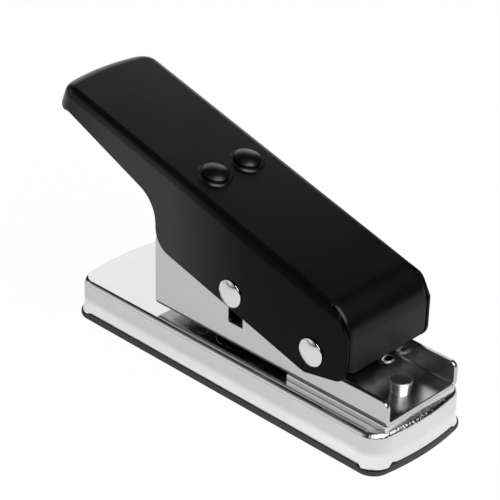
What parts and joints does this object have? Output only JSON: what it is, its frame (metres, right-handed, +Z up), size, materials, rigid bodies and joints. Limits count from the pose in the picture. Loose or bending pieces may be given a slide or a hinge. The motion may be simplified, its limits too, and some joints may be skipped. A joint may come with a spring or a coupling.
{
  "type": "guitar pick punch",
  "caption": "Hand punch that cuts guitar picks from plastic cards: chromed base with a card slot, channel frame and a black pressed-steel lever that drives a pick-shaped punch.",
  "frame": {"origin": "middle of the base's outline, on the surface it stands on", "axes": "+X from the lever's tail to the hinge end, +Y across, +Z up"},
  "size_m": [0.1419, 0.042, 0.0791],
  "materials": {
    "cover_plastic": "soft matte",
    "chrome": "bright plated",
    "steel": "ground",
    "black_paint": "satin",
    "spring_steel": "blued"
  },
  "bodies": {
    "bottom_cover": {"bottom_cover": "cover_plastic"},
    "base_frame": {"base_tray": "chrome", "die_plate": "steel", "spacer_plate": "chrome", "channel_frame": "chrome", "punch_guide": "steel", "guide_rivets": "steel", "front_stud": "chrome", "low_rivets": "chrome", "pivot_pin": "chrome", "pivot_sleeve": "steel", "pivot_washers": "steel"},
    "lever": {"lever_shell": "black_paint", "drive_pin": "chrome", "drive_washers": "steel", "spring_rivets": "black_paint", "spring_clamp": "steel", "leaf_spring": "spring_steel"},
    "punch": {"punch_block": "steel", "punch_holder": "steel", "punch_screws": "steel"}
  },
  "joints": [
    {"name": "cover_release", "type": "slide", "parent": "bottom_cover", "child": "base_frame", "axis": [0, 0, 1], "range_m": [0, 0.02]},
    {"name": "lever_press", "type": "hinge", "parent": "base_frame", "child": "lever", "pos_m": [0.0363, 0, 0.0301], "axis": [0, -1, 0], "range_deg": [0, 14], "stiffness_Nm_per_rad": 2, "springref_deg": -17.19, "deforming": ["leaf_spring"]},
    {"name": "punch_slide", "type": "slide", "parent": "base_frame", "child": "punch", "axis": [0, 0, -1], "range_m": [0, 0.0083]}
  ],
  "couplings": [
    {"joint": "punch_slide", "follows": "lever_press", "m_per_rad": 0.033162}
  ]
}
